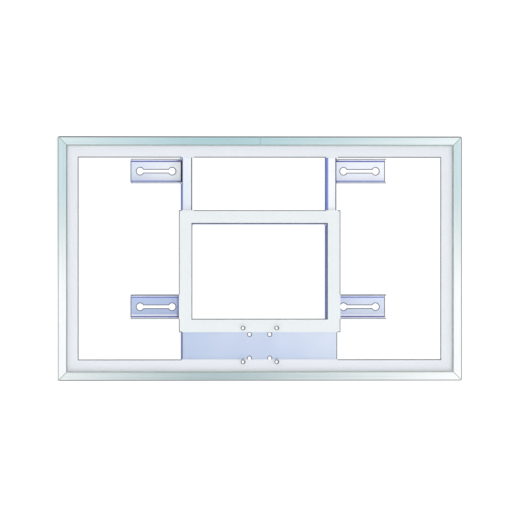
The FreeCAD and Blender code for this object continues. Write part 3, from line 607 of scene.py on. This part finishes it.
def button_screw():
    """A domed head with a hexagon socket on a plain shank, its seat at the origin."""
    top = SCREW_HEAD_HEIGHT
    floor = top - SOCKET_DEPTH
    flat = SCREW_HEAD * SCREW_TOP_FLAT
    profile = [(0.0, floor), (SOCKET, floor), (SOCKET, top), (flat, top)]
    for turn in SCREW_DOME_TURNS:
        angle = math.radians(turn)
        radius = flat + (SCREW_HEAD - flat) * math.sin(angle)
        profile.append((radius, top * (SCREW_RIM + (1 - SCREW_RIM) * math.cos(angle))))
    profile += [(SCREW_HEAD, 0.0), (SCREW_SHANK, 0.0)]
    profile += [(SCREW_SHANK, -SCREW_LENGTH), (0.0, -SCREW_LENGTH)]
    shape = turned(profile)
    sixth = math.tau / HEXAGON
    for vert in shape.verts:
        if abs(math.hypot(vert.co.x, vert.co.z) - SOCKET) < MERGE:
            angle = math.atan2(vert.co.z, vert.co.x) % sixth - sixth / 2
            draw_in = math.cos(sixth / 2) / math.cos(angle)
            vert.co.x *= draw_in
            vert.co.z *= draw_in
    return shape


corner_places = []
for side in (-1, 1):
    for end in (-1, 1):
        for step in KEY_SCREW_STEPS:
            on_upright = BOARD_HALF_ACROSS - HOLLOW_MIDDLE, BOARD_HALF_UP - step
            on_level = BOARD_HALF_ACROSS - step, BOARD_HALF_UP - HOLLOW_MIDDLE
            for aside, height in (on_upright, on_level):
                corner_places.append((side * aside, FRAME_BACK, BOARD_UP + end * height))
splice_places = [(step, FRAME_BACK, cad_high.z - HOLLOW_MIDDLE) for step in SPLICE_SCREW_STEPS]
screw_zinc = zinc("screw_zinc")
corner_screws = copies(button_screw(), corner_places)
splice_screws = copies(button_screw(), splice_places)
finished("corner_button_screws", corner_screws, screw_zinc, "corner_key_screws")
finished("splice_button_screws", splice_screws, screw_zinc, "splice_screws")


# The steel back frame: two rectangular uprights, a cross tube behind the top of the target, the
# goal plate and four bent channel brackets, welded together and powder coated a pale blue grey.
# Faces that look to the front are paler than the sides, whose deeper blue is painted shade,
# and the fronts are palest high on the right.
# Painted shade: the deeper blue of faces turned from the front.
PAINTED_SIDE_SHADE = tone(132, 146, 208)
PAINT_LOW = tone(180, 195, 226)
PAINT_HIGH = tone(250, 251, 254)
# Painted shade round the hole rims and cut ends of brackets and plate.
RIM_SHADE = tone(92, 96, 108)
# Painted shade on the uprights' rounded right-hand corners.
RIGHT_CORNER_SHADE = tone(52, 56, 68)
# Painted shade and painted highlight, laid in bands along the bracket bends and cut edges.
BEND_DEEP_SHADE = tone(92, 98, 172)
BEND_SHADE = tone(118, 130, 196)
BEND_SOFT_SHADE = tone(166, 174, 220)
BEND_HIGHLIGHT = tone(248, 249, 255)
CUT_EDGE_SHADE = tone(104, 108, 118)
CUT_EDGE_DEEP_SHADE = tone(44, 46, 70)
CUT_EDGE_SOFT_SHADE = tone(190, 192, 198)
# Band tables of painted shade and highlight; PAINT_HIGH here is a painted highlight.
LOW_FAR_BANDS = (0.0172, PAINT_HIGH), (0.0112, BEND_DEEP_SHADE), (0.0068, BEND_HIGHLIGHT), (0.0030, CUT_EDGE_SHADE)
LOW_NEAR_BANDS = (0.0128, BEND_SHADE), (0.0082, BEND_HIGHLIGHT), (0.0040, CUT_EDGE_DEEP_SHADE)
HIGH_FAR_BANDS = (0.0118, BEND_DEEP_SHADE), (0.0072, BEND_HIGHLIGHT), (0.0030, CUT_EDGE_SHADE)
HIGH_NEAR_BANDS = (0.0114, BEND_SOFT_SHADE), (0.0046, CUT_EDGE_SOFT_SHADE)
BAND_FADE = 0.0006
BEND_END = (0.011, 0.013)
# How much paler the fronts grow towards the top and the right, and in soft clouds.
PALENESS = 0.52
PALER_UP = 0.96
PALER_RIGHT = 0.58
PALENESS_CLOUDS = 0.25
PALENESS_RANGE = (-0.25, 1.25)
DEEP_SHADE = tone(10, 8, 52)
SHADE_REACH = 0.006
SHADE_END = 0.022
SHADE_TURN = (0.6, 0.85)
# Where the web is painted paler by the upright: painted light against the shade there.
FILL_LIGHT_PAST = 0.05
FILL_LIGHT_HEIGHTS = (-0.2, 0.2)
FRONT_ON = (0.6, 0.8)
FRONT_SIDE = (0.05, 0.2)
RIM_WIDTH = 0.0036
RIM_CORE = 0.7
# How softly the painted corner shade fades at the bracket's edges.
SHADE_FADE = 0.008
CORNER_SIDE = 0.0032
INNER_TURN = 0.0072
RIGHT_CORNER_WIDTH = 0.0047
SLOT_HALF = 0.00525
EYE_RADIUS = 0.0130
EYES = (0.32385, 0.4445)
SPARE_ASIDE = 0.0381
SPARE_UPS = (-0.44645, -0.35755)
SPARE_RADIUS = 0.0065
BRACKET_UP = abs(bracket_low.z + bracket_high.z) / 2
BRACKET_HALF = (bracket_high.z - bracket_low.z) / 2


def no_marks(place, facing, colour):
    """Leaves the paint as it is."""
    return colour


def powder_coat(name, lift, marks=no_marks, shine=0.2):
    """Powder coat: paler high and right, painted shade on the sides, orange peel and a piece's own
    marks.
    """
    material, place = new_finish(name)
    facing = abs(face_normal(place).axis("Y"))
    clouds = mottle(place, per_metre=9.0)
    peel = mottle(place, per_metre=700.0, detail=2.0)
    # Fronts grow paler towards the top and the right.
    paleness = PALENESS + lift + place.axis("Z") * PALER_UP + place.axis("X") * PALER_RIGHT
    paleness = paleness + (clouds - MIDDLE_TONE) * PALENESS_CLOUDS
    front = paleness.rise(*PALENESS_RANGE).blend(PAINT_LOW, PAINT_HIGH)
    # Faces turned from the front take the painted side shade.
    colour = marks(place, facing, facing.rise(*FLAT_ON).blend(PAINTED_SIDE_SHADE, front))
    orange_peel = relief(peel, depth=0.00006)
    coat(colour, roughness=0.36 + 0.14 * peel, normal=orange_peel, Specular_IOR_Level=shine)
    return material


def out_of_hole(aside, up, across_at, up_at, radius):
    """How far a point lies outside a round hole's edge."""
    x = aside - across_at
    z = up - up_at
    return (x * x + z * z) ** 0.5 - radius


def rim(gap):
    """1 in a narrow band outside an edge."""
    return 1 - gap.rise(RIM_WIDTH * RIM_CORE, RIM_WIDTH)


def banded(gap, colour, bands):
    """Bands of painted shade and highlight along an edge, widest first, each a reach from it and a
    tone.
    """
    for reach, band in bands:
        colour = (1 - gap.rise(reach - BAND_FADE, reach + BAND_FADE)).blend(colour, band)
    return colour


def bracket_marks(place, facing, colour):
    """Painted shade and highlights on bends, cut edges, corners and rims; painted light on the web by
    the upright.
    """
    aside, up = abs(place.axis("X")), place.axis("Z")
    row = abs(up) - BRACKET_UP
    to_front = facing.rise(*FRONT_ON)
    front_side = (0 - face_normal(place).axis("Y")).rise(*FRONT_SIDE)
    high = inside(up, 0.0, FAR_OUT)
    far = inside(row, 0.0, FAR_OUT)
    edge = BRACKET_HALF - abs(row)
    # Painted shade and highlight bands along the bends and cut edges.
    low_near = banded(edge, colour, LOW_NEAR_BANDS)
    low_bands = far.blend(low_near, banded(edge, colour, LOW_FAR_BANDS))
    high_near = banded(edge, colour, HIGH_NEAR_BANDS)
    high_bands = far.blend(high_near, banded(edge, colour, HIGH_FAR_BANDS))
    colour = front_side.blend(colour, high.blend(low_bands, high_bands))
    from_upright = aside - upright_high.x
    # Painted deep shade on the bends in the corner by the upright, on the upper brackets.
    corner = (1 - from_upright.rise(SHADE_REACH, SHADE_END)) * high
    colour = (corner * (1 - facing.rise(*SHADE_TURN))).blend(colour, DEEP_SHADE)
    # Painted light: the web beside the upright is painted paler, to lift the shade there.
    fill_light_share = 1 - aside.rise(upright_high.x, bracket_high.x + FILL_LIGHT_PAST)
    fill_light_share = fill_light_share * up.rise(*FILL_LIGHT_HEIGHTS) * edge.rise(*BEND_END)
    colour = (fill_light_share * to_front).blend(colour, PAINT_HIGH)
    inner_eye, outer_eye = [out_of_hole(aside, row, eye, 0.0, EYE_RADIUS) for eye in EYES]
    slot_middle, slot_reach = sum(EYES) / 2, (EYES[1] - EYES[0]) / 2
    slot = (abs(aside - slot_middle) - slot_reach).most(abs(row) - SLOT_HALF)
    # Painted shade round the eyes, the slot and the outer end.
    worn_and_rim_shade = rim(inner_eye.least(outer_eye).least(slot)).most(rim(bracket_high.x - aside))
    return (worn_and_rim_shade * to_front).blend(colour, RIM_SHADE)


def upright_marks(place, facing, colour):
    """Painted shade: right-hand corners, the right upright's inner corner, the left side in a bracket.
    """
    across, deep, up = place.axis("X"), place.axis("Y"), place.axis("Z")
    on_right = inside(across, 0.0, FAR_OUT)
    right_edge = on_right * (upright_low.x + upright_high.x) - upright_low.x
    # Painted shade along the rounded right-hand corners.
    right_corner_shade_share = edge_line(right_edge - across, RIGHT_CORNER_WIDTH)
    colour = (right_corner_shade_share * facing.rise(*SIDE_ON)).blend(colour, RIGHT_CORNER_SHADE)
    # Painted side shade over the right upright's inner front corner.
    inner_side_shade = inside(across, 0.0, upright_low.x + INNER_TURN)
    colour = inner_side_shade.blend(colour, PAINTED_SIDE_SHADE)
    # Deep painted shade on the left upright's side within the upper bracket.
    in_bracket = 1 - abs(up - BRACKET_UP).rise(BRACKET_HALF - SHADE_FADE, BRACKET_HALF)
    on_left = inside(across, -FAR_OUT, CORNER_SIDE - upright_high.x)
    corner_shade_share = in_bracket * on_left * deep.rise(upright_low.y, upright_low.y + CORNER_SIDE)
    return corner_shade_share.blend(colour, DEEP_SHADE)


def plate_marks(place, facing, colour):
    """Painted shade round the drilled holes and along the sheared ends."""
    aside, up = abs(place.axis("X")), place.axis("Z")
    low, high = [out_of_hole(aside, up, SPARE_ASIDE, level, SPARE_RADIUS) for level in SPARE_UPS]
    # Painted shade round the spare holes and the sheared ends.
    worn_and_rim_shade = rim(low.least(high)).most(rim(plate_high.x - aside))
    return (worn_and_rim_shade * facing.rise(*FRONT_ON)).blend(colour, RIM_SHADE)


bracket_paint = powder_coat("bracket_powder_coat", lift=-0.02, marks=bracket_marks)
dress(bracket_paint, "bracket_upper_left", "bracket_upper_right")
dress(bracket_paint, "bracket_lower_left", "bracket_lower_right")
tube_paint = powder_coat("tube_powder_coat", lift=0.2, marks=upright_marks, shine=0.0)
dress(tube_paint, "upright_left", "upright_right")
dress(powder_coat("cross_tube_powder_coat", lift=0.0), "cross_tube")
dress(powder_coat("plate_powder_coat", lift=0.09, marks=plate_marks), "goal_plate")
clip_paint = powder_coat("clip_powder_coat", lift=0.0)
dress(clip_paint, "frame_clip_top_left", "frame_clip_top_right")
dress(clip_paint, "frame_clip_bottom_left", "frame_clip_bottom_right")


# Fillet welds: short rippled beads in the corners where brackets, cross tube and clips meet the
# uprights, laid down before the powder coat.
WELD_LEG = 0.0036
WELD_SWELL = 1.1
RIPPLE = 0.0016
WELD_STEPS = 6
BRACKET_WELD = 0.0227
CROSS_WELD = 0.02375
CLIP_WELD = 0.0238
WELD_MARGIN = 0.0030
TUBE_ROUND = 0.0040
BACK = Vector((0.0, 1.0, 0.0))
cross_low, cross_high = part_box("cross_tube")
clip_inset = cad_high.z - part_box("frame_clip_top_right")[0].z


def weld(group, corner, first, second, along, length):
    """One bead: a quarter round swept along its joint, swollen and drawn in at every ripple."""
    bead = bmesh.new()
    root, toe = bead.verts.new((0.0, 0.0, 0.0)), bead.verts.new((WELD_LEG, 0.0, 0.0))
    spoke = bead.edges.new((root, toe))
    quarter = {"axis": (0, 0, 1), "cent": (0, 0, 0), "angle": math.pi / 2, "steps": WELD_STEPS}
    bmesh.ops.spin(bead, geom=[root, toe, spoke], **quarter)
    bmesh.ops.remove_doubles(bead, verts=bead.verts, dist=MERGE)
    end = bmesh.ops.dissolve_faces(bead, faces=bead.faces)["region"][0]
    count = round(length / RIPPLE) * 2
    for step in range(count):
        grown = bmesh.ops.extrude_face_region(bead, geom=[end])["geom"]
        if step > 0:
            bead.faces.remove(end)
        end = next(item for item in grown if isinstance(item, bmesh.types.BMFace))
        swell = WELD_SWELL if step % 2 == 0 else 1 / WELD_SWELL
        bmesh.ops.translate(bead, verts=end.verts, vec=(0.0, 0.0, length / count))
        bmesh.ops.scale(bead, verts=end.verts, vec=(swell, swell, 1.0))
    turned_to_joint = Matrix((first, second, along)).transposed().to_4x4()
    bead.transform(Matrix.Translation(corner) @ turned_to_joint)
    bmesh.ops.recalc_face_normals(bead, faces=bead.faces)
    added(group, bead)
    bead.free()


beads = bmesh.new()
for side in (-1, 1):
    outward = Vector((side, 0.0, 0.0))
    inner_side, outer_side = side * upright_low.x, side * upright_high.x
    for row in (-1, 1):
        for face in (-1, 1):
            height = row * BRACKET_UP + face * BRACKET_HALF
            corner = (outer_side, bracket_low.y + WELD_MARGIN, height)
            weld(beads, corner, outward, UP * face, BACK, BRACKET_WELD)
    cross_start = cross_low.y + TUBE_ROUND
    weld(beads, (inner_side, cross_start, cross_high.z), -outward, UP, BACK, CROSS_WELD)
    weld(beads, (inner_side, cross_start, cross_low.z), -outward, -UP, BACK, CROSS_WELD)
    rear_corner = (inner_side, cross_high.y, cross_low.z + TUBE_ROUND)
    rear_length = cross_high.z - cross_low.z - TUBE_ROUND * 2
    weld(beads, rear_corner, -outward, BACK, UP, rear_length)
    for end in (-1, 1):
        height = BOARD_UP + end * (BOARD_HALF_UP - clip_inset)
        corner = (inner_side, FRAME_BACK + WELD_MARGIN, height)
        weld(beads, corner, -outward, UP * -end, BACK, CLIP_WELD)
weld_paint = powder_coat("weld_powder_coat", lift=0.2)
finished("weld_ripples", beads, weld_paint, "weld_beads")


# Goal sleeves: turned dark nylon tubes that line the four bolt holes through glass and plate,
# each with a collar that lies on the front of the plate.
TURNED_ROUND = (0.1, 1.0, 0.1)
nylon, place = new_finish("turned_nylon")
rings = mottle(place, per_metre=400.0, stretch=TURNED_ROUND)
nylon_tone = rings.blend(tone(72, 76, 84), tone(96, 100, 108))
coat(nylon_tone, roughness=0.42 + 0.15 * rings, normal=relief(rings, depth=0.00005))
dress(nylon, "goal_sleeves")


# Clip bolts: zinc plated hexagon bolts with flat washers, screwed through each clip and the rear
# wall of the frame into a tapped bar inside the hollow.
CLIP_GAUGE = 0.0040
CLIP_BACK = FRAME_BACK + CLIP_GAUGE
BOLT_STEPS = (0.015, 0.033)
WASHER_RADIUS = 0.00825
WASHER_HOLE = 0.0043
WASHER_THICKNESS = 0.0016
WASHER_SOFT = 0.0003
BOLT_HEAD = 0.0075
BOLT_HEAD_HEIGHT = 0.0053
BOLT_SOFT = 0.0009
BOLT_SOFT_STEPS = 2
BOLT_SHANK = 0.0040
BOLT_LENGTH = 0.0161


def hexagon_bolt():
    """A hexagon head with softened top edges on a plain shank, its seat at the origin."""
    shape = bmesh.new()
    head = {"radius1": BOLT_HEAD, "radius2": BOLT_HEAD, "depth": BOLT_HEAD_HEIGHT}
    bmesh.ops.create_cone(shape, cap_ends=True, segments=HEXAGON, **head)
    top = [edge for edge in shape.edges if all(vert.co.z > 0 for vert in edge.verts)]
    soft = {"offset": BOLT_SOFT, "segments": BOLT_SOFT_STEPS, "affect": "EDGES"}
    bmesh.ops.bevel(shape, geom=top, clamp_overlap=True, profile=0.5, material=-1, **soft)
    bmesh.ops.translate(shape, verts=shape.verts, vec=(0.0, 0.0, BOLT_HEAD_HEIGHT / 2))
    under = [face for face in shape.faces if all(vert.co.z < MERGE for vert in face.verts)]
    to_flat = BOLT_HEAD * math.cos(math.pi / HEXAGON)
    bmesh.ops.inset_region(shape, faces=under, thickness=to_flat - BOLT_SHANK)
    grown = bmesh.ops.extrude_face_region(shape, geom=under)["geom"]
    tail = [item for item in grown if isinstance(item, bmesh.types.BMVert)]
    bmesh.ops.translate(shape, verts=tail, vec=(0.0, 0.0, -BOLT_LENGTH))
    bmesh.ops.delete(shape, geom=under, context="FACES_ONLY")
    to_back = Matrix.Rotation(-math.pi / 2, 3, "X")
    bmesh.ops.rotate(shape, verts=shape.verts, cent=(0, 0, 0), matrix=to_back)
    bmesh.ops.recalc_face_normals(shape, faces=shape.faces)
    return shape


def flat_washer():
    """A punched ring with softened edges, its seat at the origin."""
    outer, hole, soft, thick = WASHER_RADIUS, WASHER_HOLE, WASHER_SOFT, WASHER_THICKNESS
    profile = [(hole, 0.0), (outer - soft, 0.0), (outer, soft)]
    profile += [(outer, thick - soft), (outer - soft, thick)]
    profile += [(hole + soft, thick), (hole, thick - soft), (hole, 0.0)]
    return turned(profile)


bolt_places = []
for side in (-1, 1):
    for end in (-1, 1):
        for step in BOLT_STEPS:
            height = BOARD_UP + end * (BOARD_HALF_UP - HOLLOW_MIDDLE)
            bolt_places.append(Vector((side * (upright_low.x - step), CLIP_BACK, height)))
bolt_zinc = zinc("bolt_zinc")
bolts = copies(hexagon_bolt(), [place + BACK * WASHER_THICKNESS for place in bolt_places])
washers = copies(flat_washer(), bolt_places)
finished("clip_hexagon_bolts", bolts, bolt_zinc, "clip_bolts")
finished("clip_flat_washers", washers, bolt_zinc, "clip_washers")
dress(bolt_zinc, "clip_nut_bars")


# Rubber pads: strips cut from sheet, stuck between the steel and the rear of the glass, so that
# the two never touch. The white lines hide them from the front.
pads = rubber("pad_rubber", tone(52, 54, 58), tone(74, 76, 80))
dress(pads, "upright_pad_left", "upright_pad_right", "cross_pad")
dress(pads, "goal_pad_upper", "goal_pad_lower")
